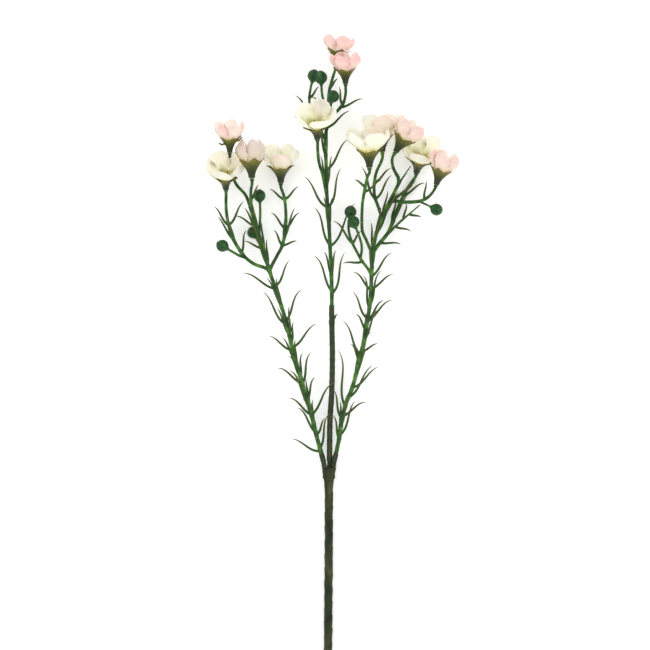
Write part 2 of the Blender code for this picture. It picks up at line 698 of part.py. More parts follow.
def petal(name, frame, flower, turn):
    """One rounded petal, cupped, split into triangles alike on both faces."""
    step = 0.02
    grid = []
    for v in PETAL_ROWS:
        for column in range(PETAL_COLUMNS + 1):
            u = math.sin(math.pi * (column / PETAL_COLUMNS - 0.5))
            across = (petal_point(min(1, u + step), v, flower)
                      - petal_point(max(-1, u - step), v, flower))
            along = (petal_point(u, min(1, v + step), flower)
                     - petal_point(u, max(0, v - step), flower))
            grid.append((petal_point(u, v, flower), across.cross(along).normalized()))
    spin = Matrix.Rotation(turn, 4, "Z")
    points = [frame @ spin @ (place + face * 0.5 * PETAL_THICK * normal)
              for face in (1, -1) for place, normal in grid]
    width = PETAL_COLUMNS + 1
    rows = len(PETAL_ROWS) - 1
    back = width * (rows + 1)
    faces = []
    for row in range(rows):
        for column in range(PETAL_COLUMNS):
            a = row * width + column
            for three in ((a, a + 1, a + 1 + width), (a, a + 1 + width, a + width)):
                faces.append(three)
                faces.append(tuple(back + k for k in reversed(three)))
    edge = list(range(width)) + [row * width + width - 1 for row in range(1, rows + 1)]
    edge += [rows * width + column for column in range(width - 2, -1, -1)]
    edge += [row * width for row in range(rows - 1, 0, -1)]
    for a, b in zip(edge, edge[1:] + edge[:1]):
        faces.append((b, a, back + a))
        faces.append((b, back + a, back + b))
    return make_object(name, points, faces)


def petals(name, flower, material):
    """Five overlapping petals that grow from a small cone deep in the calyx."""
    frame = flower_frame(flower)
    sides = 10
    core = [frame @ point for point in turned(PETAL_CORE, sides)]
    pieces = [make_object(name, core, ring_faces(len(PETAL_CORE), sides))]
    for k in range(PETALS):
        pieces.append(petal(f"{name}_{k}", frame, flower, math.tau * k / PETALS))
    return fuse(pieces, name, material)


def flower_centre(name, flower, material):
    """The yellow middle, a low button that sits on the petals' cone."""
    frame = flower_frame(flower)
    sides = 8
    points = [frame @ point for point in turned(CENTRE_PROFILE, sides)]
    obj = make_object(name, points, ring_faces(len(CENTRE_PROFILE), sides), material)
    obj.data.shade_smooth()
    return obj


def main():
    clear_scene()
    make_stalk(random.Random(4))
    for name, stems in SPRAYS.items():
        make_spray(name, stems, make_material(name + " plastic", COLOURS["spray"], 0.4))
    for name, flower in FLOWERS.items():
        tint = PINK if name in PINK_FLOWERS else CREAM
        calyx("calyx_" + name, flower,
              make_material("calyx plastic " + name, COLOURS["calyx"], 0.45))
        petals("petals_" + name, flower, make_material("petal fabric " + name, tint, 0.8))
        flower_centre("centre_" + name, flower,
                      make_material("centre plastic " + name, COLOURS["centre"], 0.6))


main()
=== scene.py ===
import json
import math
import random

import bpy
from mathutils import Matrix, Vector, noise


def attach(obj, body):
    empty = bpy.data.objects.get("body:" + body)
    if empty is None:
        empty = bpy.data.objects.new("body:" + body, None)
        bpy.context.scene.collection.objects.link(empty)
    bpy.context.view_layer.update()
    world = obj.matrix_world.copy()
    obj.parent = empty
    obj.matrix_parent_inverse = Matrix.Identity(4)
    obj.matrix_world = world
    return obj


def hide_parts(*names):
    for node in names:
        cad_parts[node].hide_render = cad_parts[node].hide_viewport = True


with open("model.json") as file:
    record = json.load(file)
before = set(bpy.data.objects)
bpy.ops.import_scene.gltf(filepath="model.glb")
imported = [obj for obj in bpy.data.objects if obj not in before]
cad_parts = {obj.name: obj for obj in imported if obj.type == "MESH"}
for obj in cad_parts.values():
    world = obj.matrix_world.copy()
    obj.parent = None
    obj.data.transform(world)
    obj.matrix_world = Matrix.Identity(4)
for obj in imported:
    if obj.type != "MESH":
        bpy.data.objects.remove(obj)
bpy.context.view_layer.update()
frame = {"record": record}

mm = 0.001
centreShift = Vector((-2.6, -249.5, 0.0))   # the lists below are in mm, y from the cut end
fitGap = 0.3        # between a collar and its calyx
clearTable = 0.02   # keeps the lowest points just off the table

# Routes of the stems: each has its route, its radius at both ends, what it ends in and its needles.
# A needle is the y it leaves at, then its tip's x and y, and z where it has to pass something.
# Pairs are the heights of the needles that stand up off the stem and hang under it.
leftSpray = {
    "axis": dict(
        route=[(-4.0, 158, 9.4), (-9.0, 176.5, 10.4), (-13.5, 195.5, 11.2), (-20, 217.5, 12),
               (-28, 245, 13), (-33.5, 268.5, 13.8), (-41.5, 294, 14.6), (-47, 309.5, 15),
               (-51.5, 326.5, 15.2), (-58.5, 348, 15.4), (-62.5, 361, 15.5)],
        radius=(1.75, 1.45),
        needles=[(165, -29.5, 175), (167, 1.5, 195.5, 15), (178, -2.5, 191.5), (180, -25, 200),
                 (194, -31.5, 207.5), (194, 5.5, 220, 18), (206, -10, 224.5), (212, -31, 229.5),
                 (219, -41, 231.5), (219, -13, 244.5), (225, -32, 241.5), (225, -20, 243.5),
                 (246, -47.5, 257.5), (248, -9, 267), (252, -27.5, 268.5), (266, -52.5, 293),
                 (269, -20.5, 294.5), (295, -69, 307.5), (297, -30.5, 318), (328, -67, 333),
                 (345, -74.5, 353)],
        pairs=[187, 202, 236, 258, 281, 314, 327, 342]),
    "branch_to_2": dict(
        route=[(-46.5, 308, 15), (-50, 311.5, 15), (-58.5, 314.5, 15), (-66, 320, 15),
               (-72, 328, 15), (-76.5, 336.5, 14.6), (-79.5, 346, 14), (-81.5, 358, 12.4)],
        radius=(1.45, 1.25), flower="left_2",
        needles=[(324, -65, 342), (346, -91.5, 361), (346, -67, 365)],
        pairs=[334]),
    "branch_to_4": dict(
        route=[(-45.5, 306, 15), (-46, 311, 15), (-41, 321, 14.4), (-36.5, 330, 13.6),
               (-34, 343, 11.6), (-33.8, 356, 9.8), (-35, 368, 8.6)],
        radius=(1.45, 1.2), flower="left_4",
        needles=[(330, -43.5, 342), (330, -24.5, 333), (343, -46, 356), (343, -22.5, 356),
                 (367, -47, 375), (367, -23.5, 377)],
        pairs=[336]),
    "stalk_to_3": dict(
        route=[(-59.5, 352, 15.4), (-61, 359, 18.5), (-61.5, 367, 25), (-61.3, 374, 29.6)],
        radius=(1.3, 1.2), flower="left_3",
        needles=[(366, -55.5, 378)]),
    "stalk_to_1": dict(
        route=[(-62, 360, 15.5), (-66, 370, 13), (-73, 378, 9.5), (-77, 387, 4.5), (-78, 397, 4.5),
               (-78.2, 404.6, 9), (-78.2, 405.6, 18), (-78.1, 403.2, 27)],
        radius=(1.3, 1.2), flower="left_1"),
    "bud_stalk_1": dict(
        route=[(-55, 337, 15.3), (-54.5, 347, 14.5), (-54.2, 356, 13), (-54.6, 365, 12)],
        radius=(1.1, 1.0), bud=1.0),
    "bud_stalk_2": dict(
        route=[(-53, 329, 15.2), (-55.5, 332, 12), (-58, 336.5, 9.5)],
        radius=(1.1, 1.0), bud=1.0),
    "bud_stalk_3": dict(
        route=[(-65.5, 319.5, 15), (-72, 322, 15.5), (-80.5, 327, 16.5)],
        radius=(1.1, 1.0), bud=1.0),
}
centreSpray = {
    "wrapped_stalk": dict(
        route=[(1.2, 158, 7.6), (1.6, 189, 9), (3, 213, 10), (3.5, 240, 11), (3, 272, 12),
               (3, 282, 12.2)],
        radius=(2.2, 2.1),
        needles=[(268, 8, 275, 15)]),
    "axis": dict(
        route=[(3, 276, 12.1), (3, 297, 12.6), (2, 322, 13.4), (0.5, 351, 14.4), (-1, 372, 15),
               (-1.5, 393, 15.5), (-2, 415, 15.8), (0, 430, 15.8), (1.5, 441, 15.8)],
        radius=(1.6, 1.4),
        needles=[(293, -12, 322), (291, 13.5, 324), (330, -11.5, 360.5), (329, 22, 364, 5),
                 (360, -19, 385), (360, 10.5, 391.5), (390, 16.5, 415), (424, 17.5, 437),
                 (439, -14, 448)],
        pairs=[306, 345, 378, 402]),
    "stalk_to_1": dict(
        route=[(0, 434, 15.8), (0.4, 448, 15.2), (1.6, 456, 14.6), (4.6, 466.5, 13.4)],
        radius=(1.25, 1.15), flower="centre_1",
        needles=[(456, 8, 463)]),
    "stalk_to_2": dict(
        route=[(0.6, 431, 15.8), (6, 435.5, 19), (12, 442.5, 22.5), (14, 450, 25.6)],
        radius=(1.25, 1.15), flower="centre_2",
        needles=[(440, 28, 446.5), (442, 8.6, 456, 27)]),
    "stalk_to_3": dict(
        route=[(-0.5, 366, 14.8), (-4, 385, 17.6), (-7, 395, 20), (-8.2, 405, 23)],
        radius=(1.3, 1.2), flower="centre_3"),
    "bud_stalk_1": dict(
        route=[(-1.6, 412, 15.8), (-9, 430, 15), (-14, 440, 14), (-15, 447, 13.8), (-14, 455, 14),
               (-12.6, 461, 14.4)],
        radius=(1.1, 1.0), bud=1.0,
        needles=[(448, -7, 457), (436, -26.5, 450, 12)]),
    "bud_stalk_2": dict(
        route=[(0.8, 434, 15.8), (-2, 441, 15.4), (-4.5, 449, 16), (-5.4, 459, 17)],
        radius=(1.1, 1.0), bud=1.06),
    "bud_stalk_3": dict(
        route=[(0.8, 434, 15.8), (1.8, 440, 18.5), (3, 444.5, 21)],
        radius=(1.1, 1.0), bud=1.0),
}
rightSpray = {
    "axis": dict(
        route=[(5, 157, 9.3), (8.5, 172.5, 10.2), (11, 189.5, 11), (14.5, 203.5, 11.6),
               (19.5, 216, 12), (26, 241, 13), (31.5, 268.5, 13.8), (34, 288.5, 14.4),
               (35, 309.5, 15), (36.5, 330.5, 15.4), (43, 351.5, 16), (53, 372, 17), (58, 382, 18)],
        radius=(1.75, 1.45),
        needles=[(175, 3.5, 194, 16), (178, 22, 205.5), (191, 4, 215, 17), (193, 31, 204),
                 (201, 8, 246, 17), (208, 36, 234), (216, 40.5, 232.5), (242, 11.5, 269.5),
                 (238, 18, 251), (245, 40, 251), (243, 34.5, 260.5), (262, 22, 275), (269, 52, 286),
                 (269, 45, 286), (271, 19.5, 293), (280, 28, 306), (294, 20, 308.5),
                 (295, 52.5, 306.5), (282, 43, 310), (305, 51.5, 324)],
        pairs=[185, 226, 254, 312, 327, 340, 354]),
    "branch_to_buds": dict(
        route=[(34.6, 306, 15), (31.5, 311.5, 15.5), (27, 317.5, 16.5), (23, 324.5, 17.4),
               (19.5, 331.5, 18), (17, 339, 18), (16.4, 346, 17), (17.2, 352, 16)],
        radius=(1.2, 1.0), bud=1.0,
        needles=[(317, 12, 315), (331.5, 4, 349), (331.5, 27, 341)]),
    "bud_stalk_2": dict(
        route=[(26, 319, 16.6), (27, 328, 19), (25, 336.5, 21.5), (22, 344, 23)],
        radius=(1.1, 1.0), bud=1.0),
    "stalk_to_1": dict(
        route=[(35.8, 322, 15.2), (31, 333, 17.5), (27.5, 341, 20), (27, 351, 25),
               (27.5, 363.5, 32), (29.5, 375, 37.5), (31.4, 384, 41)],
        radius=(1.3, 1.2), flower="right_1",
        needles=[(376, 21, 381), (372, 42, 381, 36)]),
    "stalk_to_2": dict(
        route=[(43, 351.5, 16), (40, 361, 15), (37.4, 369, 14), (37, 378, 13), (38.6, 388, 13),
               (42.3, 396, 14)],
        radius=(1.3, 1.2), flower="right_2",
        needles=[(367, 26.5, 393, 11), (367, 51, 386, 13), (380, 50.5, 391.5)]),
    "stalk_to_3": dict(
        route=[(56, 378, 17.7), (56, 384, 20), (52.8, 389.5, 23.5), (51.0, 395.8, 29.5)],
        radius=(1.3, 1.2), flower="right_3",
        needles=[(384, 50.5, 392, 20)]),
    "branch_to_4": dict(
        route=[(36.3, 324, 15.2), (41, 331, 13.5), (48, 340, 10.2), (53, 352.5, 6.8),
               (58, 364.5, 3.8), (64, 376, 2.2)],
        radius=(1.45, 1.2), flower="right_4",
        needles=[(332, 58.5, 330), (370, 78, 380, 4)],
        pairs=[337, 349]),
    "side_branch": dict(
        route=[(47, 338.8, 10.6), (54.5, 345.5, 11.6), (64, 354, 13), (73.5, 362, 13.4)],
        radius=(1.1, 0.5),
        needles=[(345, 66.5, 340.5), (355, 74.5, 352), (351, 62, 363, 20)]),
    "stalk_to_5": dict(
        route=[(48.5, 363, 16.6), (53, 365, 19.5), (61.5, 364, 23), (73, 364.6, 28), (80, 368, 34)],
        radius=(1.3, 1.2), flower="right_5",
        needles=[(364, 68, 378), (364, 70.5, 382), (366, 78, 380.5)]),
    "bud_stalk_3": dict(
        route=[(72, 364.5, 27.6), (77, 362.6, 26), (82.6, 360, 24)],
        radius=(0.9, 0.85), bud=1.0),
    "long_strand": dict(
        route=[(56.5, 379, 17.8), (62, 387, 17), (66, 393, 14)],
        radius=(0.9, 0.4)),
}
sprays = {"left_spray": leftSpray, "centre_spray": centreSpray, "right_spray": rightSpray}

# A flower's foot is where its calyx meets its stalk. Lean turns it right of the stem's direction,
# tilt lifts it off the table, open goes from a cup to a bowl, and blush is each petal's pink.
flowers = {
    "left_1": dict(
        foot=(-78.0, 403.0, 38.5), lean=0, tilt=16, roll=44, size=0.92, open=0.25, full=1.0,
        sepals=((-86.6, 409.8, 47.0), (-67.6, 414.6, 47.0)),
        blush=(0.85, 0.5, 0.75, 0.7, 0.55)),
    "left_2": dict(
        foot=(-81.8, 375.0, 10.5), lean=-1, tilt=38, roll=2, size=1.04, open=0.7, full=1.08,
        blush=(0.05, 0.0, 0.05, 0.4, 0.25)),
    "left_3": dict(
        foot=(-60.5, 382.5, 36.0), lean=-3, tilt=3, roll=36, size=1.06, open=-0.3, full=1.0,
        blush=(0.65, 0.5, 0.45, 0.65, 0.6)),
    "left_4": dict(
        foot=(-37.8, 380.5, 9.0), lean=-1, tilt=22, roll=18, size=1.09, open=0.5, full=1.0,
        blush=(0.0, 0.6, 0.05, 0.0, 0.0)),
    "centre_1": dict(
        foot=(6.2, 473.6, 13.0), lean=8, tilt=2, roll=38, size=0.92, open=0.5, full=1.0,
        blush=(1.0, 1.0, 1.0, 1.0, 1.0)),
    "centre_2": dict(
        foot=(14.0, 458.0, 29.0), lean=-1, tilt=14, roll=68, size=0.92, open=0.45, full=1.0,
        blush=(1.0, 1.0, 1.0, 1.0, 1.0)),
    "centre_3": dict(
        foot=(-8.5, 414.5, 28.0), lean=-4, tilt=38, roll=30, size=1.08, open=0.8, full=1.03,
        blush=(0.0, 0.0, 0.1, 0.3, 0.0)),
    "right_1": dict(
        foot=(32.8, 391.0, 43.0), lean=-2, tilt=14, roll=38, size=1.08, open=0.7, full=1.14,
        blush=(0.0, 0.0, 0.4, 0.35, 0.0)),
    "right_2": dict(
        foot=(43.5, 404.5, 15.0), lean=-2, tilt=6, roll=22, size=1.02, open=0.45, full=1.16,
        blush=(0.0, 0.6, 0.0, 0.5, 0.0)),
    "right_3": dict(
        foot=(53.6, 403.4, 35.0), lean=31, tilt=8, roll=56, size=1.0, open=0.15, full=1.03,
        blush=(0.65, 0.75, 0.6, 0.7, 0.65)),
    "right_4": dict(
        foot=(71.0, 388.5, 6.5), lean=12, tilt=38, roll=12, size=1.08, open=0.75, full=1.08,
        blush=(0.0, 0.1, 0.3, 0.0, 0.0)),
    "right_5": dict(
        foot=(85.8, 377.4, 40.0), lean=18, tilt=12, roll=4, size=0.98, open=0.1, full=1.0,
        blush=(0.8, 0.65, 0.75, 0.65, 0.8)),
}


def hexColour(text):
    values = [int(text[k:k + 2], 16) / 255 for k in (1, 3, 5)]
    linear = [v / 12.92 if v <= 0.04045 else ((v + 0.055) / 1.055) ** 2.4 for v in values]
    return (*linear, 1.0)


# Adds a node with its settings and its links. Stops are the colours of a ramp.
def addNode(tree, kind, settings=None, links=None):
    node = tree.nodes.new("ShaderNode" + kind)
    for name, value in (settings or {}).items():
        if name == "stops":
            stops = node.color_ramp.elements
            while len(stops) > 1:
                stops.remove(stops[-1])
            for k, (place, colour) in enumerate(value):
                stop = stops[0] if k == 0 else stops.new(place)
                stop.position = place
                stop.color = hexColour(colour)
        elif isinstance(name, int) or name in node.inputs.keys():
            node.inputs[name].default_value = value
        else:
            setattr(node, name, value)
    for name, source in (links or {}).items():
        tree.links.new(source, node.inputs[name])
    return node


# A material with its shader, and the place on the piece for its patterns.
def newMaterial(name):
    material = bpy.data.materials.new(name)
    material.use_nodes = True
    tree = material.node_tree
    place = addNode(tree, "TexCoord").outputs["Object"]
    return material, tree, tree.nodes["Principled BSDF"], place


# One grain makes a finish uneven in gloss, and the same or another height makes its relief.
def addGrain(tree, shader, look, grain, height):
    rough = addNode(tree, "MapRange", {"To Min": look["rough"][0], "To Max": look["rough"][1]},
                    {"Value": grain})
    tree.links.new(rough.outputs["Result"], shader.inputs["Roughness"])
    bump = addNode(tree, "Bump", {"Distance": look["grainDepth"] * mm, "Strength": look["relief"]},
                   {"Height": height})
    tree.links.new(bump.outputs["Normal"], shader.inputs["Normal"])


# A second colour that comes through in clouds.
def addClouds(tree, look, cloud, colour):
    amount = addNode(tree, "MapRange", {"From Min": look["mistFrom"], "From Max": look["mistTo"],
                                        "To Max": look["mistMost"]}, {"Value": cloud})
    return addNode(tree, "Mix", {"data_type": "RGBA", 7: hexColour(look["mist"])},
                   {0: amount.outputs["Result"], 6: colour}).outputs[2]


# Moulded polyethylene as the stems, buds and calyxes have it: satin, cloudy where the dye ran,
# with a fine grain that keeps its highlights soft.
def newMouldedPlastic(name, look):
    material, tree, shader, place = newMaterial(name)
    cloud, grain = [
        addNode(tree, "TexNoise", {"Scale": 1000 / look[key], "Detail": look[key + "Detail"]},
                {"Vector": place}).outputs["Fac"] for key in ("cloud", "grain")]
    addGrain(tree, shader, look, grain, grain)
    shader.inputs["IOR"].default_value = 1.51        # polyethylene
    shader.inputs["Specular IOR Level"].default_value = 0.3
    return material, tree, shader, cloud


# Noise scales below are features per metre: 1000 / size in millimetres.
tapeLook = dict(
    dyes=[(0.28, "#141d0c"), (0.48, "#27321a"), (0.64, "#3a3c20"), (0.75, "#55513a")],
    # the edge colour is the painted shade along the step of each turn
    edge="#191b10", patch=7.0, crepe=1.1, grainDepth=0.35, relief=0.6, rough=(0.55, 0.8),
)


# Waxed crepe floral tape: dark green going brown, dull, shinier where the wax was rubbed. The
# dark line painted along the edge of each turn, painted shade where it steps over the turn
# below, and the crepe's wrinkles tell the eye that it is wound on.
def makeFloralTape():
    look = tapeLook
    material, tree, shader, place = newMaterial("waxed crepe floral tape")
    along = addNode(tree, "Mapping", {"Scale": (1, 0.4, 1)}, {"Vector": place}).outputs[0]
    patches = addNode(tree, "TexNoise", {"Scale": 1000 / look["patch"], "Detail": 4.0},
                      {"Vector": along}).outputs["Fac"]
    dye = addNode(tree, "ValToRGB", {"stops": look["dyes"]}, {"Fac": patches})
    # painted shade: a dark line where each turn of tape steps over the one below
    edge = addNode(tree, "Attribute", {"attribute_name": "tapeEdge"})
    colour = addNode(tree, "Mix", {"data_type": "RGBA", 7: hexColour(look["edge"])},
                     {0: edge.outputs["Fac"], 6: dye.outputs["Color"]})
    tree.links.new(colour.outputs[2], shader.inputs["Base Color"])
    crepe = addNode(tree, "TexNoise", {"Scale": 1000 / look["crepe"], "Detail": 5.0},
                    {"Vector": along}).outputs["Fac"]      # real crepe is 0.4 mm, too fine to show
    addGrain(tree, shader, look, crepe, crepe)
    shader.inputs["IOR"].default_value = 1.45        # wax
    shader.inputs["Specular IOR Level"].default_value = 0.25
    return material


stemLook = dict(
    greens=[(0.32, "#143008"), (0.5, "#235012"), (0.68, "#4f7d22")],
    wrap=[(0.3, "#1b260f"), (0.55, "#2c3a1e"), (0.75, "#473f26")],
    cloud=6.0, cloudDetail=3.0, grain=1.2, grainDetail=4.0, grainDepth=0.14, relief=0.5,
    rough=(0.3, 0.52), tapeRough=0.25,
)


# The stems: leaf green, with a soft light line along each. Where a stem is wound with tape it
# goes dull and browner.
def makeStemPlastic():
    look = stemLook
    material, tree, shader, cloud = newMouldedPlastic("moulded polyethylene stem", look)
    green = addNode(tree, "ValToRGB", {"stops": look["greens"]}, {"Fac": cloud})
    tape = addNode(tree, "ValToRGB", {"stops": look["wrap"]}, {"Fac": cloud})
    wrapped = addNode(tree, "Attribute", {"attribute_name": "wrapped"}).outputs["Fac"]
    colour = addNode(tree, "Mix", {"data_type": "RGBA"},
                     {0: wrapped, 6: green.outputs["Color"], 7: tape.outputs["Color"]})
    tree.links.new(colour.outputs[2], shader.inputs["Base Color"])
    rough = shader.inputs["Roughness"].links[0].from_socket
    duller = addNode(tree, "Math", {"operation": "MULTIPLY_ADD", 1: look["tapeRough"]},
                     {0: wrapped, 2: rough})
    tree.links.new(duller.outputs[0], shader.inputs["Roughness"])
    return material


needleLook = dict(
    length=[(0.0, "#22500f"), (0.4, "#34500f"), (0.75, "#4c5218"), (0.93, "#6e6028"),
            (1.0, "#857040")],
    mist="#1a3a0c", mistFrom=0.35, mistTo=0.7, mistMost=0.55, cloud=9.0, rough=(0.38, 0.6),
)


# Thin polyethylene needles: leaf green at the foot, going olive and then straw brown at the
# tip, so that each spray looks a little dry at its edges as the real one does.
def makeNeedlePlastic():
    look = needleLook
    material, tree, shader, place = newMaterial("moulded polyethylene needle")
    cloud = addNode(tree, "TexNoise", {"Scale": 1000 / look["cloud"], "Detail": 3.0},
                    {"Vector": place}).outputs["Fac"]
    along = addNode(tree, "Attribute", {"attribute_name": "along"}).outputs["Fac"]
    length = addNode(tree, "ValToRGB", {"stops": look["length"]}, {"Fac": along})
    colour = addClouds(tree, look, cloud, length.outputs["Color"])
    tree.links.new(colour, shader.inputs["Base Color"])
    rough = addNode(tree, "MapRange", {"To Min": look["rough"][0], "To Max": look["rough"][1]},
                    {"Value": cloud})
    tree.links.new(rough.outputs["Result"], shader.inputs["Roughness"])
    shader.inputs["IOR"].default_value = 1.51
    shader.inputs["Specular IOR Level"].default_value = 0.3
    return material


budLook = dict(
    greens=[(0.3, "#0c320e"), (0.55, "#184c1a"), (0.75, "#34742e")],
    # groove is the colour of the painted shade in the grooves; star is the star's pale, partly a
    # painted highlight
    groove="#0a2212", star="#7d9a6a", rough=(0.22, 0.42),
    cloud=4.0, cloudDetail=3.0, grain=1.2, grainDetail=3.0, grainDepth=0.12, relief=0.4,
)


# Solid buds: bottle green and glossier than the stems, with painted shade in the grooves between
# the five folded sepals. The little raised star where they meet is pale, partly its own colour and
# partly a painted highlight on the bud's tip.
def makeBudPlastic():
    look = budLook
    material, tree, shader, cloud = newMouldedPlastic("moulded polyethylene bud", look)
    colour = addNode(tree, "ValToRGB", {"stops": look["greens"]}, {"Fac": cloud}).outputs["Color"]
    # painted shade into the grooves, then the star's pale, partly a painted highlight
    for field in ("groove", "star"):
        amount = addNode(tree, "Attribute", {"attribute_name": field}).outputs["Fac"]
        colour = addNode(tree, "Mix", {"data_type": "RGBA", 7: hexColour(look[field])},
                         {0: amount, 6: colour}).outputs[2]
    tree.links.new(colour, shader.inputs["Base Color"])
    return material


calyxLook = dict(
    height=[(0.0, "#8f9a78"), (0.04, "#28331c"), (0.3, "#222e12"), (0.52, "#3c4410"),
            (0.74, "#62621a"), (0.9, "#7d7428"), (1.0, "#66501f")],
    mist="#2c3510", mistFrom=0.4, mistTo=0.7, mistMost=0.6, rough=(0.4, 0.65),
    cloud=3.5, cloudDetail=4.0, grain=1.0, grainDetail=4.0, grainDepth=0.15, relief=0.45,
)


# Moulded calyx, air-brushed: a pale ring at the foot, a dark green funnel and olive lobes that
# brown at their tips, which sets the petals off from the stalk.
def makeCalyxPlastic():
    look = calyxLook
    material, tree, shader, cloud = newMouldedPlastic("air-brushed polyethylene calyx", look)
    along = addNode(tree, "Attribute", {"attribute_name": "along"}).outputs["Fac"]
    height = addNode(tree, "ValToRGB", {"stops": look["height"]}, {"Fac": along})
    colour = addClouds(tree, look, cloud, height.outputs["Color"])
    tree.links.new(colour, shader.inputs["Base Color"])
    return material


petalLook = dict(
    cream=[(0.0, "#ecdf34"), (0.28, "#f2e968"), (0.48, "#f5f1ac"), (0.7, "#f6f4d2"),
           (1.0, "#f8f7e6")],
    pink=[(0.0, "#ecdd40"), (0.25, "#f4e292"), (0.4, "#f6cbb8"), (0.6, "#f4b4ad"),
          (1.0, "#f0a5a2")],
    dye=7.0, weave=0.9, grainDepth=0.10, relief=0.5, rough=(0.7, 0.9),
)


# Sized polyester petal fabric: matte and softly see-through, yellow green in the throat, cream
# above it and hand dyed pink in uneven washes, with a fine weave and faint creases to the edge.
def makePetalFabric(name, warmth):
    look = petalLook
    material, tree, shader, place = newMaterial(name)
    along, blush, crease = [addNode(tree, "Attribute", {"attribute_name": field}).outputs["Fac"]
                            for field in ("along", "blush", "crease")]
    dye = addNode(tree, "TexNoise", {"Scale": 1000 / look["dye"], "Detail": 3.0},
                  {"Vector": place}).outputs["Fac"]
    wash = addNode(tree, "MapRange",
                   {"From Min": 0.3, "From Max": 0.7, "To Min": 0.7, "To Max": warmth},
                   {"Value": dye}).outputs["Result"]
    amount = addNode(tree, "Math", {"operation": "MULTIPLY", "use_clamp": True},
                     {0: blush, 1: wash}).outputs[0]
    cream, pink = [addNode(tree, "ValToRGB", {"stops": look[key]}, {"Fac": along}).outputs["Color"]
                   for key in ("cream", "pink")]
    colour = addNode(tree, "Mix", {"data_type": "RGBA"}, {0: amount, 6: cream, 7: pink})
    tree.links.new(colour.outputs[2], shader.inputs["Base Color"])
    weave = addNode(tree, "TexNoise", {"Scale": 1000 / look["weave"], "Detail": 5.0},
                    {"Vector": place}).outputs["Fac"]      # real threads are 0.15 mm, drawn coarser
    relief = addNode(tree, "Math", {"operation": "ADD"}, {0: weave, 1: crease}).outputs[0]
    addGrain(tree, shader, look, weave, relief)
    shader.inputs["Specular IOR Level"].default_value = 0.25
    shader.inputs["Sheen Weight"].default_value = 0.12
    # light passes through the thin fabric, which keeps the inside of each cup bright
    shader.inputs["Subsurface Weight"].default_value = 0.75
    shader.inputs["Subsurface Radius"].default_value = (0.008, 0.007, 0.005)
    shader.inputs["Subsurface Scale"].default_value = 1.0
    return material


centreLook = dict(
    # the darkest, greenest stop is painted shade in the hollows, the palest a painted highlight on
    # the tops
    flock=[(0.3, "#c6c038"), (0.5, "#e4dc52"), (0.7, "#f2ea86")],
    size=0.8, grainDepth=0.3, relief=0.7, rough=(0.8, 0.95),
)


# Flocked plastic centre: lemon yellow and velvety. One noise gives both its relief and its colour,
# so the hollows are darker and greener as painted shade and the tops paler as painted highlight.
def makeCentrePlastic():
    look = centreLook
    material, tree, shader, place = newMaterial("flocked plastic centre")
    flock = addNode(tree, "TexNoise", {"Scale": 1000 / look["size"], "Detail": 4.0},
                    {"Vector": place}).outputs["Fac"]
    # the colour follows the relief: painted shade in the hollows, painted highlight on the tops
    colour = addNode(tree, "ValToRGB", {"stops": look["flock"]}, {"Fac": flock})
    tree.links.new(colour.outputs["Color"], shader.inputs["Base Color"])
    addGrain(tree, shader, look, flock, flock)
    shader.inputs["Sheen Weight"].default_value = 0.3
    return material


materials = {
    "tape": makeFloralTape(), "stem": makeStemPlastic(), "needle": makeNeedlePlastic(),
    "bud": makeBudPlastic(), "calyx": makeCalyxPlastic(), "centre": makeCentrePlastic(),
    "petal_pink": makePetalFabric("blush polyester petal fabric", 1.1),
    "petal_pale_pink": makePetalFabric("pale polyester petal fabric", 0.9),
    "petal_cream": makePetalFabric("cream polyester petal fabric", 1.0),
}
print("materials made")


def newShape():
    return dict(points=[], faces=[], fields={})


# Adds a closed shell to a piece, with one number a point for each named field.
def addPart(shape, points, faces, **fields):
    start = len(shape["points"])
    shape["points"] += points
    shape["faces"] += [tuple(start + k for k in face) for face in faces]
    for name in sorted(set(fields) | set(shape["fields"])):
        values = shape["fields"].setdefault(name, [0.0] * start)
        values += fields.get(name, [0.0] * len(points))


def makePiece(name, shape, material, slot, *nodes):
    mesh = bpy.data.meshes.new(name)
    mesh.from_pydata([(point + centreShift) * mm for point in shape["points"]], [], shape["faces"])
    for field, values in shape["fields"].items():
        mesh.attributes.new(field, "FLOAT", "POINT").data.foreach_set("value", values)
    mesh.materials.append(material)
    mesh.shade_smooth()
    piece = bpy.data.objects.new(name, mesh)
    bpy.context.scene.collection.objects.link(piece)
    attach(piece, "root")
    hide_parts(*nodes)
    return piece


def ringFaces(rings, sides):
    faces = []
    for ring in range(rings - 1):
        for side in range(sides):
            a = ring * sides + side
            b = ring * sides + (side + 1) % sides
            faces.append((a, b, b + sides, a + sides))
    faces.append(tuple(range(sides - 1, -1, -1)))
    faces.append(tuple(range((rings - 1) * sides, rings * sides)))
    return faces


# How far a value is from start to end, from 0 to 1.
def ramp(value, start, end):
    return min(1.0, max(0.0, (value - start) / (end - start)))


# A smooth curve from p1 to p2, for places and for plain numbers.
def curveBetween(p0, p1, p2, p3, t):
    return 0.5 * (2 * p1 + (p2 - p0) * t + (2 * p0 - 5 * p1 + 4 * p2 - p3) * t * t
                  + (3 * p1 - p0 - 3 * p2 + p3) * t ** 3)


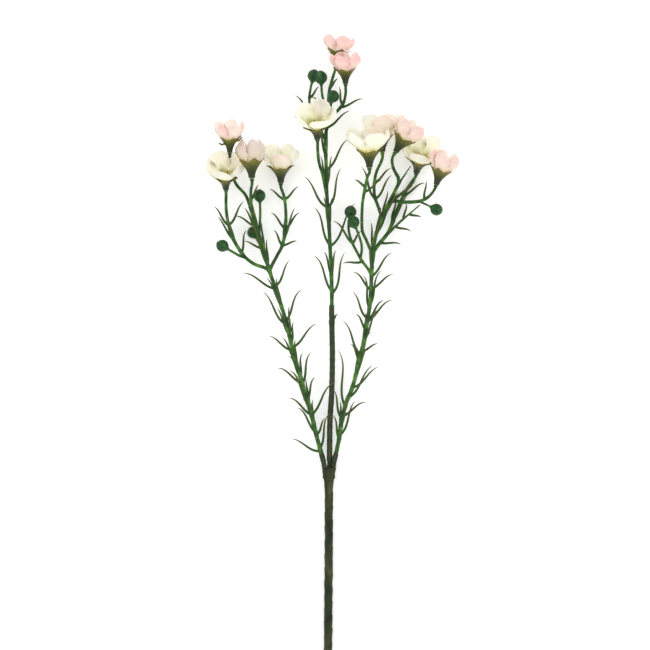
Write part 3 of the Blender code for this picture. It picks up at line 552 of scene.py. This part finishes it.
# Points a step apart on a smooth curve through the route.
def smoothRoute(route, step):
    fineSteps = 20
    points = [Vector(point) for point in route]
    points = [2 * points[0] - points[1]] + points + [2 * points[-1] - points[-2]]
    fine = []
    for k in range(1, len(points) - 2):
        for n in range(fineSteps):
            fine.append(curveBetween(*points[k - 1:k + 3], n / fineSteps))
    fine.append(points[-2])
    lengths = [0.0]
    for a, b in zip(fine, fine[1:]):
        lengths.append(lengths[-1] + (b - a).length)
    count = max(2, round(lengths[-1] / step))
    result = []
    k = 0
    for n in range(count + 1):
        wanted = lengths[-1] * n / count
        while k < len(fine) - 2 and lengths[k + 1] < wanted:
            k += 1
        share = (wanted - lengths[k]) / (lengths[k + 1] - lengths[k])
        result.append(fine[k].lerp(fine[k + 1], min(1.0, share)))
    return result


stemShape = dict(
    step=1.6, sides=12, wander=0.05, swell=0.16, swellLength=1.8, rootReach=4.0,
    taped=13.0, tapePitch=6.0, tapeThick=0.75, tapeBase=0.1, tapeLap=0.2, tapeFade=3.0,
    approach=-4.0, neck=1.1, collar=1.75, collarFoot=-2.4,
    collarLine=((-2.1, 0.9), (-1.7, 1.0), (-0.8, 0.97), (-0.4, 0.94)),
    peg=0.75, pegHeights=(-0.25, 2.4),
)


# A closed round stem along a line, a little uneven, as moulded or wound.
def addTube(shape, line, radii, sides, **rings):
    points = []
    sideWay = Vector((0.0, 0.0, 1.0))
    for k, point in enumerate(line):
        ahead = (line[min(k + 1, len(line) - 1)] - line[max(k - 1, 0)]).normalized()
        sideWay = (sideWay - ahead * sideWay.dot(ahead)).normalized()
        across = ahead.cross(sideWay)
        for side in range(sides):
            turn = math.tau * side / sides
            way = math.cos(turn) * sideWay + math.sin(turn) * across
            uneven = 1 + stemShape["wander"] * noise.noise(point * 0.35 + way * 0.6)
            points.append(point + radii[k] * uneven * way)
    fields = {name: [value for value in values for side in range(sides)]
              for name, values in rings.items()}
    addPart(shape, points, ringFaces(len(line), sides), **fields)


needleShape = dict(
    halfWidth=0.92, rings=14, sides=8, sheath=1.25, sheathLength=2.2, keel=0.75, crown=0.6,
    taper=2.2, blunt=0.7, tipWidth=0.08, start=22.0, turn=28.0, pull=0.36, sway=10.0, rise=1.5,
    pairLength=(19.0, 25.0), pairHeight=(7.0, 10.0), pairSide=(2.6, 5.5), lowest=0.95,
)


# A slim needle that runs up its stem and turns outward at its tip.
def addNeedle(shape, root, along, tip):
    n = needleShape
    reach = tip - root
    outward = (reach - along * reach.dot(along)).normalized()
    lean = math.degrees(reach.angle(along))
    sway = n["sway"] * math.sin(root.y)
    start = math.radians(lean + n["start"] + sway)
    finish = math.radians(lean + n["turn"] - sway)
    pull = n["pull"] * reach.length
    first = root + pull * (math.sin(start) * outward + math.cos(start) * along)
    second = tip - pull * (math.sin(finish) * outward + math.cos(finish) * along)
    points, reachField = [], []
    for ring in range(n["rings"] + 1):
        t = ring / n["rings"]
        u = 1 - t
        middle = u ** 3 * root + 3 * u * u * t * first + 3 * u * t * t * second + t ** 3 * tip
        ahead = u * u * (first - root) + 2 * u * t * (second - first) + t * t * (tip - second)
        ahead.normalize()
        across = ahead.cross(Vector((0.0, 0.0, 1.0)))
        if across.length < 0.2:      # a needle that stands nearly upright
            across = ahead.cross(Vector((1.0, 0.0, 0.0)))
        across.normalize()
        up = across.cross(ahead)
        sheath = 1 + (n["sheath"] - 1) * math.exp(-(t * reach.length / n["sheathLength"]) ** 2)
        width = n["halfWidth"] * sheath * (1 - t ** n["taper"]) ** n["blunt"] + n["tipWidth"]
        for side in range(n["sides"]):
            turn = math.tau * side / n["sides"]
            keel = n["keel"] if math.sin(turn) < 0 else n["crown"]
            point = middle + width * (math.cos(turn) * across + keel * math.sin(turn) * up)
            point.z = max(point.z, clearTable)
            points.append(point)
            reachField.append(t)
    addPart(shape, points, ringFaces(n["rings"] + 1, n["sides"]), along=reachField)


budShape = dict(
    radius=4.8, sides=50, rings=26, curveLength=2.9, ribs=5,
    groove=0.10, grooveWidth=0.085, grooveShade=0.8, bulge=0.03,
    profile=((0.24, -0.30), (0.32, -0.12), (0.52, 0.05), (0.74, 0.25), (0.94, 0.55), (1.02, 0.95),
             (0.95, 1.35), (0.76, 1.65), (0.50, 1.88), (0.28, 2.0), (0.12, 2.07)),
    starHeight=2.02, starLine=((0.0, -0.3), (0.5, 0.05), (1.1, -0.25)),
    starRadii=(0.34, 0.32, 0.12),
)


# A round bud of five segments that close in a small raised star at its tip.
def addBud(shape, foot, along, scale, spin):
    b = budShape
    sideWay = along.orthogonal().normalized()
    across = along.cross(sideWay)
    radius = b["radius"] * scale
    sides = b["sides"]
    curve = smoothRoute([(*spot, 0) for spot in b["profile"]], b["curveLength"] / b["rings"])
    points, grooveShadeField = [], []
    for ring, sample in enumerate(curve):
        share = ring / (len(curve) - 1)
        for side in range(sides):
            turn = math.tau * side / sides
            gap = (turn * b["ribs"] / math.tau) % 1.0 - 0.5
            depth = math.exp(-(gap / b["grooveWidth"]) ** 2) * min(1.0, 3 * share)
            rib = 1 - b["groove"] * depth - b["bulge"] * math.cos(math.tau * gap + math.pi)
            way = math.cos(turn + spin) * sideWay + math.sin(turn + spin) * across
            points.append(foot + along * sample.y * radius + sample.x * rib * radius * way)
            # painted shade, darkest down the middle of each groove
            grooveShadeField.append(depth * b["grooveShade"])
    addPart(shape, points, ringFaces(len(curve), sides), groove=grooveShadeField)
    tip = foot + along * b["starHeight"] * radius
    for k in range(b["ribs"]):
        turn = math.tau * (k + 0.5) / b["ribs"] + spin
        way = math.cos(turn) * sideWay + math.sin(turn) * across
        # the star is palest at its middle, partly a painted highlight on the bud's tip
        addTube(shape, [tip + way * out + along * up for out, up in b["starLine"]],
                b["starRadii"], 6, star=[1.0, 0.9, 0.5])


def flowerFrame(flower):
    lean = math.radians(flower["lean"])
    tilt = math.radians(flower["tilt"])
    axis = Vector((math.sin(lean) * math.cos(tilt), math.cos(lean) * math.cos(tilt),
                   math.sin(tilt)))
    turn = axis.to_track_quat("Z", "Y").to_matrix().to_4x4()
    roll = Matrix.Rotation(math.radians(flower["roll"]), 4, "Z")
    return (Matrix.Translation(Vector(flower["foot"])) @ turn @ roll
            @ Matrix.Scale(flower["size"], 4))


def stemAt(line, height):
    for a, b in zip(line, line[1:]):
        if (a.y - height) * (b.y - height) <= 0 and a.y != b.y:
            return a.lerp(b, (height - a.y) / (b.y - a.y)), (b - a).normalized()
    return line[-1], (line[-1] - line[-2]).normalized()


stalk = dict(
    radius=3.0, padding=0.35, length=152.0, rise=0.034, bow=0.7, bowLength=260,
    tapePitch=11.0, tapeStep=0.34, lump=0.30,     # each turn of tape covers half of the one before
    lapDrift=0.08, lumpScale=(1.2, 0.11), wrinkle=0.05, wrinkleScale=(5.0, 1.6),
    # the edge values give the width and depth of the painted shade along each tape step
    lapShadeWidth=0.06, edgeShade=0.6, endShare=0.86, endLength=0.8,
    ringStep=0.8, sides=48, flareStart=134.0, flareWide=2.6, flareDeep=0.9, flareCurve=1.5,
)
sprayRoots = {"left_spray": (-3.0, 0.8, 1.3), "centre_spray": (0.8, -1.0, 1.6),
              "right_spray": (4.4, 0.8, 1.3)}
rootDepth = 9.0


def stalkMiddle(y):
    return Vector((stalk["bow"] * math.sin(math.pi * y / stalk["bowLength"]), y,
                   stalk["radius"] + stalk["rise"] * y))


def rootLine(name):
    x, rise, radius = sprayRoots[name]
    start, end = stalkMiddle(stalk["length"] - rootDepth), stalkMiddle(stalk["length"])
    shift = Vector((x - end.x, 0, rise))
    return start + shift, end + shift


def lumpAt(way, y, scale):
    return noise.noise(Vector((way.x * scale[0], y * scale[1], way.z * scale[0])))


# The taped stalk: a helix of overlapping tape with lumps under it, flaring at the fork.
def makeStalk():
    s = stalk
    shape = newShape()
    points, lapShadeField = [], []
    rings = round(s["length"] / s["ringStep"])
    for ring in range(rings + 1):
        y = s["length"] * ring / rings
        middle = stalkMiddle(y)
        flare = ramp(y, s["flareStart"], s["length"]) ** s["flareCurve"]
        nearEnd = ramp(min(y, s["length"] - y), 0, s["endLength"])
        close = s["endShare"] + (1 - s["endShare"]) * nearEnd
        for side in range(s["sides"]):
            turn = math.tau * side / s["sides"]
            drift = s["lapDrift"] * noise.noise(Vector((y * 0.05, turn, 0)))
            lap = (y / s["tapePitch"] + turn / math.tau + drift) % 1.0
            way = Vector((math.cos(turn), 0, math.sin(turn)))
            grow = (s["padding"] + s["tapeStep"] * (lap - 0.5)
                    + s["lump"] * lumpAt(way, y, s["lumpScale"])
                    + s["wrinkle"] * lumpAt(way, y, s["wrinkleScale"]))
            wide = (s["radius"] + s["flareWide"] * flare + grow) * close
            deep = (s["radius"] + s["flareDeep"] * flare + grow) * close
            point = middle + Vector((wide * way.x, 0, deep * way.z))
            point.z = max(point.z, clearTable)
            points.append(point)
            # painted shade along the step where each turn laps over the one before
            edge = 1 - ramp(min(lap, 1 - lap), 0, s["lapShadeWidth"])
            lapShadeField.append(edge * s["edgeShade"])
    addPart(shape, points, ringFaces(rings + 1, s["sides"]), tapeEdge=lapShadeField)
    makePiece("tape_wound_stalk", shape, materials["tape"], "floral_tape", "taped_stalk")


# A moulded stem, swelling a little at each leaf pair. The first of a spray starts in the stalk
# and has the stalk's tape run up on to it. One with a flower ends in a collar and a peg.
def addStem(shape, sprayName, stemName, stem, first):
    s = stemShape
    route = list(stem["route"])
    thick, thin = stem["radius"]
    if first:
        start, end = rootLine(sprayName)
        route = [tuple(start), tuple(start.lerp(end, 0.5)), tuple(end)] + route
    flower = flowers.get(stem.get("flower"))
    if flower:
        place = flowerFrame(flower)
        route += [tuple(place @ Vector((0, 0, height))) for height in (s["approach"], -fitGap)]
    line = smoothRoute(route, s["step"])
    count = len(line) - 1
    radii = [thick + (thin - thick) * k / count for k in range(count + 1)]
    joints = [needle[0] for needle in stem.get("needles", [])] + stem.get("pairs", [])
    for k, point in enumerate(line):
        if first and point.y < stalk["length"] + s["rootReach"]:
            radii[k] = min(radii[k], sprayRoots[sprayName][2])
        near = min((abs(point.y - y) for y in joints), default=99)
        radii[k] *= 1 + s["swell"] * math.exp(-(near / s["swellLength"]) ** 2)
    wrapped = [0.0] * len(line)
    if first:
        whole = stemName == "wrapped_stalk"
        tapeEnd = line[-1].y if whole else stalk["length"] + s["taped"]
        for k, point in enumerate(line):
            wrapped[k] = ramp(tapeEnd - point.y, 0, s["tapeFade"])
            tape = s["tapeBase"] + s["tapeLap"] * ((point.y / s["tapePitch"]) % 1.0 - 0.5)
            if not whole:
                tape += s["tapeThick"] * max(0.0, (tapeEnd - point.y) / s["taped"])
            radii[k] += tape * wrapped[k] * (point.y > stalk["length"] + 0.5)
    if flower:
        line.pop()
        radii.pop()
        radii[-2:] = [min(radius, thin * s["neck"]) for radius in radii[-2:]]
        collar, peg = s["collar"] * flower["size"], s["peg"] * flower["size"]
        profile = [(s["collarFoot"], thin)]
        profile += [(height, share * collar) for height, share in s["collarLine"]]
        profile += [(height, peg) for height in s["pegHeights"]]
        for height, radius in profile:
            line.append(place @ Vector((0, 0, height)))
            radii.append(radius)
    wrapped += [0.0] * (len(line) - len(wrapped))
    addTube(shape, line, radii, s["sides"], wrapped=wrapped)
    return line


# A moulded spray, as three pieces: its stems, its needles and its buds.
def makeSpray(name, stems):
    draw = random.Random(name)
    stemsShape, needlesShape, budsShape = newShape(), newShape(), newShape()
    for order, (stemName, stem) in enumerate(stems.items()):
        line = addStem(stemsShape, name, stemName, stem, order == 0)
        if "bud" in stem:
            along = (line[-1] - line[-2]).normalized()
            addBud(budsShape, line[-1], along, stem["bud"], line[-1].y)
        for height, *tip in stem.get("needles", []):
            root, along = stemAt(line, height)
            tip = Vector((tip + [root.z + needleShape["rise"]])[:3])
            addNeedle(needlesShape, root, along, tip)
        for height in stem.get("pairs", []):
            root, along = stemAt(line, height)
            side = draw.choice((1, -1))
            for way in (1, -1):
                tip = root + along * draw.uniform(*needleShape["pairLength"])
                tip.x += side * way * draw.uniform(*needleShape["pairSide"])
                tip.z = max(tip.z + way * draw.uniform(*needleShape["pairHeight"]),
                            needleShape["lowest"])
                addNeedle(needlesShape, root, along, tip)
    makePiece(name + "_stems", stemsShape, materials["stem"], "spray_plastic", name)
    makePiece(name + "_needles", needlesShape, materials["needle"], "spray_plastic", name)
    makePiece(name + "_buds", budsShape, materials["bud"], "spray_plastic", name)


calyxShape = dict(
    sides=80, wall=0.6, lobeSharpness=1.15,
    heights=(0.0, 1.0, 2.5, 4.0, 6.0, 8.0, 10.0, 11.9),
    radii=(2.3, 2.45, 2.6, 3.0, 3.85, 4.9, 6.3, 7.7),
    lobeHeight=15.0, lobeRadius=10.1, lobeSpread=1.4, rimRings=6, rimSpread=0.2, rimAbove=9,
    floor=((2.6, 6.0), (2.2, 5.2)), floorAbove=6.5, socket=1.1, socketDepth=3.0,
    rib=0.025, ribStart=4, sepalFoot=7.5, sepalSag=1.2, sepalRadii=(0.9, 0.8, 0.6, 0.15),
)
petalShape = dict(
    count=5, thick=0.35, rows=22, columns=18,
    cup=((1.6, 6.8), (4.9, 11.0), (8.6, 15.8), (10.2, 21.8), (8.4, 28.2)),
    bowl=((1.6, 6.8), (5.0, 10.9), (9.2, 15.2), (13.8, 19.4), (15.4, 24.2)),
    halfWidths=(24.0, 30.0, 37.0, 45.0, 40.0), rounding=0.38, scoop=1.7, lap=1.4,
    lapFrom=(0.3, 0.6), growFrom=(0.5, 0.9), ruffle=0.30, vary=0.035,
    crease=0.8, creaseScale=(0.9, 0.12), core=((1.6, 5.5), (2.3, 7.0), (2.4, 8.1)), coreSides=20,
)
centreShape = dict(
    button=((1.3, 8.6), (2.2, 9.1), (2.7, 10.0), (2.7, 11.0), (2.3, 12.0), (1.4, 12.7),
            (0.4, 12.9)),
    sides=24, flock=0.06, flockScale=1.8, stamens=14, ring=2.2, foot=11.4, sway=0.2,
    spread=(0.7, 1.7), rise=(1.8, 3.2), stamenRadii=(0.18, 0.15, 0.36, 0.5, 0.2),
)


# A smooth curve through evenly spaced values, at a place from 0 to 1.
def between(values, place):
    count = len(values) - 1
    k = min(count - 1, max(0, int(place * count)))
    t = place * count - k
    p1, p2 = values[k], values[k + 1]
    p0 = values[k - 1] if k > 0 else 2 * p1 - p2
    p3 = values[k + 2] if k + 2 <= count else 2 * p2 - p1
    return curveBetween(p0, p1, p2, p3, t)


# A petal's middle surface, from side to side in u and from its claw to its tip in v.
def petalPoint(u, v, flower, wave, grow):
    s = petalShape
    reach = v * (1 - s["rounding"] * v * v * (1 - math.sqrt(max(0.0, 1 - u * u))))
    claw = Vector(s["cup"][0])
    places = [claw + flower["full"] * (Vector(cup).lerp(Vector(bowl), flower["open"]) - claw)
              for cup, bowl in zip(s["cup"], s["bowl"])]
    radius = between([place.x for place in places], reach)
    height = between([place.y for place in places], reach)
    radius += s["lap"] * u * ramp(v, *s["lapFrom"])
    radius += s["scoop"] * (1 - u * u) * max(0.0, math.sin(math.pi * (1.9 * v - 0.95)))
    radius += s["ruffle"] * math.sin(4.0 * u + wave) * v ** 4
    height += s["ruffle"] * math.cos(5.0 * u + 1.7 * wave) * v ** 4
    radius *= 1 + (grow - 1) * ramp(v, *s["growFrom"])
    turn = math.radians(between(s["halfWidths"], v)) * u
    return Vector((radius * math.cos(turn), radius * math.sin(turn), height))


# One rounded fabric petal, scooped, with a softly waved edge.
def addPetal(shape, place, flower, spin, blush, draw):
    s = petalShape
    wave = draw.uniform(0, math.tau)
    grow = 1 + draw.uniform(-1, 1) * s["vary"]
    rows, columns = s["rows"], s["columns"]
    turn = Matrix.Rotation(spin, 4, "Z")
    grid = [[petalPoint(math.sin(math.pi * (c / columns - 0.5)), r / rows, flower, wave, grow)
             for c in range(columns + 1)] for r in range(rows + 1)]
    points, alongField, creaseField = [], [], []
    for face in (1, -1):
        for r in range(rows + 1):
            for c in range(columns + 1):
                across = grid[r][min(c + 1, columns)] - grid[r][max(c - 1, 0)]
                along = grid[min(r + 1, rows)][c] - grid[max(r - 1, 0)][c]
                normal = across.cross(along).normalized()
                points.append(place @ turn @ (grid[r][c] + 0.5 * s["thick"] * face * normal))
                alongField.append(r / rows)
                fold = Vector((c * s["creaseScale"][0], r * s["creaseScale"][1], wave))
                creaseField.append(s["crease"] * noise.noise(fold))
    width, back = columns + 1, (columns + 1) * (rows + 1)
    faces = []
    for r in range(rows):
        for c in range(columns):
            a = r * width + c
            faces.append((a, a + 1, a + 1 + width, a + width))
            faces.append((back + a, back + a + width, back + a + 1 + width, back + a + 1))
    edge = list(range(width)) + [r * width + columns for r in range(1, rows + 1)]
    edge += [rows * width + c for c in range(columns - 1, -1, -1)]
    edge += [r * width for r in range(rows - 1, 0, -1)]
    for a, b in zip(edge, edge[1:] + edge[:1]):
        faces.append((b, a, back + a, back + b))
    addPart(shape, points, faces, along=alongField, blush=[blush] * len(points),
            crease=creaseField)


# A thin funnel with five pointed lobes that hug the petals, ribbed down each lobe.
def addCalyx(shape, place, opening):
    s = calyxShape
    spread = max(0.0, opening)
    sides = s["sides"]
    rim, rimHeight = s["radii"][-1], s["heights"][-1]
    outer = [[(radius + (s["rimSpread"] * spread if height > s["rimAbove"] else 0), height)] * sides
             for height, radius in zip(s["heights"], s["radii"])]
    for ring in range(1, s["rimRings"] + 1):
        row = []
        for side in range(sides):
            gap = abs((side * 5 / sides + 0.5) % 1.0 - 0.5) * 2     # 0 on a lobe, 1 between
            peak = ring / s["rimRings"] * (1 - gap) ** s["lobeSharpness"]
            row.append((rim + s["rimSpread"] * spread
                        + (s["lobeRadius"] + s["lobeSpread"] * spread - rim) * peak,
                        rimHeight + (s["lobeHeight"] - spread - rimHeight) * peak))
        outer.append(row)
    inner = [[(radius - s["wall"], height) for radius, height in row] for row in reversed(outer)]
    inner = [row for row in inner if row[sides // 10][1] > s["floorAbove"]]
    inner += [[spot] * sides for spot in s["floor"]]
    socket = [[(s["socket"], height)] * sides for height in (s["socketDepth"], 0.0)]
    rings = socket + outer + inner
    points, alongField = [], []
    for row in rings:
        for side, (radius, height) in enumerate(row):
            turn = math.tau * side / sides
            rib = 1 + s["rib"] * math.cos(5 * turn) * min(1.0, height / s["ribStart"])
            points.append(place @ Vector((radius * rib * math.cos(turn),
                                          radius * rib * math.sin(turn), height)))
            alongField.append(height / s["lobeHeight"])
    addPart(shape, points, ringFaces(len(rings), sides), along=alongField)


# A long brown sepal that curls off the calyx's rim.
def addSepal(shape, place, tip):
    foot = place @ Vector((0, 0, calyxShape["sepalFoot"]))
    root = foot + (tip - foot) * 0.35
    sag = place.to_3x3() @ Vector((0, 0, calyxShape["sepalSag"]))
    addTube(shape, [root, root.lerp(tip, 0.6) - sag, root.lerp(tip, 0.9), tip],
            calyxShape["sepalRadii"], 8, along=[0.7, 0.95, 1.0, 1.0])


# A flocked button with a ring of short stamens round it.
def addCentre(shape, place, draw):
    s = centreShape
    points = []
    for radius, height in s["button"]:
        for side in range(s["sides"]):
            turn = math.tau * side / s["sides"]
            way = Vector((math.cos(turn), math.sin(turn), 0))
            rise = Vector((0, 0, height))
            bump = 1 + s["flock"] * noise.noise((radius * way + rise) * s["flockScale"])
            points.append(place @ (radius * bump * way + rise))
    addPart(shape, points, ringFaces(len(s["button"]), s["sides"]))
    for k in range(s["stamens"]):
        turn = math.tau * (k + draw.uniform(-s["sway"], s["sway"])) / s["stamens"]
        way = Vector((math.cos(turn), math.sin(turn), 0))
        foot = way * s["ring"] + Vector((0, 0, s["foot"]))
        tip = (foot + way * draw.uniform(*s["spread"]) + Vector((0, 0, draw.uniform(*s["rise"]))))
        anther = [tip - way * 0.1, tip, tip + way * 0.1 + Vector((0, 0, 0.35))]
        addTube(shape, [place @ point for point in [foot, foot.lerp(tip, 0.8)] + anther],
                s["stamenRadii"], 6)


def makeFlower(name, flower):
    draw = random.Random("flower " + name)
    place = flowerFrame(flower)
    calyx, petals, centre = newShape(), newShape(), newShape()
    addCalyx(calyx, place, flower["open"])
    for tip in flower.get("sepals", []):
        addSepal(calyx, place, Vector(tip))
    sides = petalShape["coreSides"]
    core = [place @ Vector((radius * math.cos(math.tau * k / sides),
                            radius * math.sin(math.tau * k / sides), height))
            for radius, height in petalShape["core"] for k in range(sides)]
    addPart(petals, core, ringFaces(len(petalShape["core"]), sides))
    for k in range(petalShape["count"]):
        addPetal(petals, place, flower, math.tau * k / petalShape["count"],
                 flower["blush"][k], draw)
    addCentre(centre, place, draw)
    tint = next(part["material_slot"] for part in frame["record"]["subparts"]
                if part["node"] == "petals_" + name)
    makePiece("calyx_cup_" + name, calyx, materials["calyx"], "calyx_plastic", "calyx_" + name)
    makePiece("fabric_petals_" + name, petals, materials[tint], tint, "petals_" + name)
    makePiece("flower_centre_" + name, centre, materials["centre"], "centre_plastic",
              "centre_" + name)


makeStalk()
print("stalk wound")
for sprayName, stems in sprays.items():
    makeSpray(sprayName, stems)
print("sprays moulded")
for flowerName, flower in flowers.items():
    makeFlower(flowerName, flower)
print("flowers made")


studio = dict(
    floorSize=6.0, floorColour="#fafaf9",
    lens=200.0, sensor=36.0,
    frameWidth=520.0, aim=(-2.4, 266.0, 15.0),      # the photo's width and centre
    worldStrength=1.0, floorGlow=0.2, lampAim=(0.0, 0.05, 0.0),
    softboxes=dict(key=dict(place=(-0.9, 0.5, 1.4), size=1.4, power=6.0),
                   fill=dict(place=(1.1, -0.2, 1.2), size=1.6, power=5.5)),
)


def makeFloor():
    mesh = bpy.data.meshes.new("table_top")
    half = studio["floorSize"] / 2
    mesh.from_pydata([(-half, -half, 0), (half, -half, 0), (half, half, 0), (-half, half, 0)], [],
                     [(0, 1, 2, 3)])
    floor = bpy.data.objects.new("table_top", mesh)
    floor.location.z = -0.0002
    bpy.context.scene.collection.objects.link(floor)
    material = bpy.data.materials.new("white card")
    material.use_nodes = True
    shader = material.node_tree.nodes["Principled BSDF"]
    shader.inputs["Base Color"].default_value = hexColour(studio["floorColour"])
    # a light table's faint glow keeps the shadows as pale as in a product photo
    shader.inputs["Emission Color"].default_value = (1.0, 1.0, 1.0, 1.0)
    shader.inputs["Emission Strength"].default_value = studio["floorGlow"]
    shader.inputs["Roughness"].default_value = 0.9
    mesh.materials.append(material)


def addSoftbox(name, place, size, power):
    light = bpy.data.lights.new(name, "AREA")
    light.size = size
    light.energy = power
    lamp = bpy.data.objects.new(name, light)
    lamp.location = place
    aim = Vector(studio["lampAim"]) - Vector(place)
    lamp.rotation_euler = aim.to_track_quat("-Z", "Y").to_euler()
    bpy.context.scene.collection.objects.link(lamp)


def makeStudio():
    world = bpy.data.worlds.new("studio")
    world.use_nodes = True
    background = world.node_tree.nodes["Background"]
    background.inputs["Color"].default_value = (1.0, 1.0, 1.0, 1.0)
    background.inputs["Strength"].default_value = studio["worldStrength"]
    bpy.context.scene.world = world
    bpy.context.scene.view_settings.view_transform = "Standard"    # keeps the white table white
    for name, softbox in studio["softboxes"].items():
        addSoftbox(name, **softbox)
    aim = (Vector(studio["aim"]) + centreShift) * mm
    distance = studio["frameWidth"] * mm * studio["lens"] / studio["sensor"]
    cameraData = bpy.data.cameras.new("camera")
    cameraData.lens = studio["lens"]
    cameraData.sensor_width = studio["sensor"]
    cameraData.clip_end = 20.0
    camera = bpy.data.objects.new("camera", cameraData)
    camera.location = aim + Vector((0, 0, distance))
    bpy.context.scene.collection.objects.link(camera)
    bpy.context.scene.camera = camera


makeFloor()
makeStudio()
print("studio lit")
